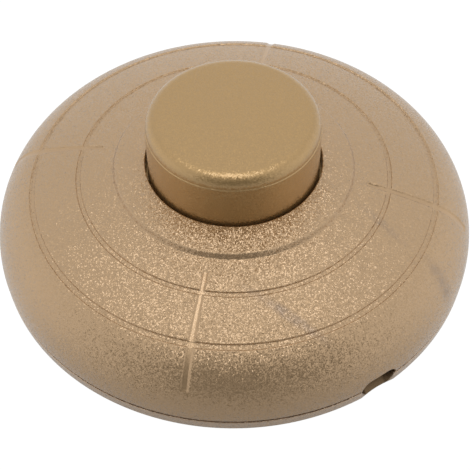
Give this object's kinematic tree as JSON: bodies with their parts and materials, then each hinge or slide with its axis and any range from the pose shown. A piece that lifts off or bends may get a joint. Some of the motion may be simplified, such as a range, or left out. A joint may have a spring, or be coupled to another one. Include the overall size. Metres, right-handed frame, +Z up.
{
  "type": "inline cord switch",
  "caption": "Round foot-operated inline cord switch: domed gold shell, wide push button, ratchet rotor, contacts, terminals and cord clamps on a screwed base.",
  "frame": {"origin": "on the floor under the middle of the button", "axes": "+X along the cord from the out inlet to the in inlet, +Z up along the button's travel"},
  "size_m": [0.0638, 0.064, 0.0226],
  "materials": {
    "gold_shell": "satin metallic gold-beige paint with a fine orange-peel grain",
    "gold_button": "satin metallic gold-beige paint, slightly yellower than the shell",
    "black_nylon": "moulded nylon",
    "spring_steel": "drawn spring steel",
    "zinc_screw": "zinc plated",
    "brass": "turned and milled brass",
    "contact_bronze": "rolled phosphor bronze strip",
    "contact_silver": "dull silver",
    "foot_rubber": "matte black rubber"
  },
  "bodies": {
    "housing": {"cover": "gold_shell", "base": "gold_shell", "button_spring": "spring_steel", "pawl_spring": "spring_steel", "terminal_in": "brass", "terminal_out": "brass", "terminal_through": "brass", "contact_spring_in": "contact_bronze", "contact_spring_out": "contact_bronze", "contact_rivet_in": "contact_silver", "contact_rivet_out": "contact_silver", "cord_clamp_in": "black_nylon", "cord_clamp_out": "black_nylon", "terminal_screw_1": "zinc_screw", "terminal_screw_2": "zinc_screw", "terminal_screw_3": "zinc_screw", "terminal_screw_4": "zinc_screw", "clamp_screw_1": "zinc_screw", "clamp_screw_2": "zinc_screw", "clamp_screw_3": "zinc_screw", "clamp_screw_4": "zinc_screw", "cover_screw_1": "zinc_screw", "cover_screw_2": "zinc_screw", "foot_1": "foot_rubber", "foot_2": "foot_rubber", "foot_3": "foot_rubber", "foot_4": "foot_rubber"},
    "button": {"button": "gold_button"},
    "rotor": {"ratchet_rotor": "black_nylon", "contact_bridge": "brass", "spring_washer": "spring_steel"}
  },
  "joints": [
    {"name": "button_press", "type": "slide", "parent": "housing", "child": "button", "axis": [0, 0, -1], "range_m": [0, 0.004], "stiffness_N_per_m": 1200, "springref_m": -0.006, "deforming": ["button_spring"]},
    {"name": "rotor_turn", "type": "hinge", "parent": "housing", "child": "rotor", "pos_m": [0, 0, 0.005], "axis": [0, 0, 1], "range_deg": [0, 36.01]}
  ],
  "couplings": [
    {"joint": "rotor_turn", "follows": "button_press", "rad_per_m": 157.08}
  ]
}
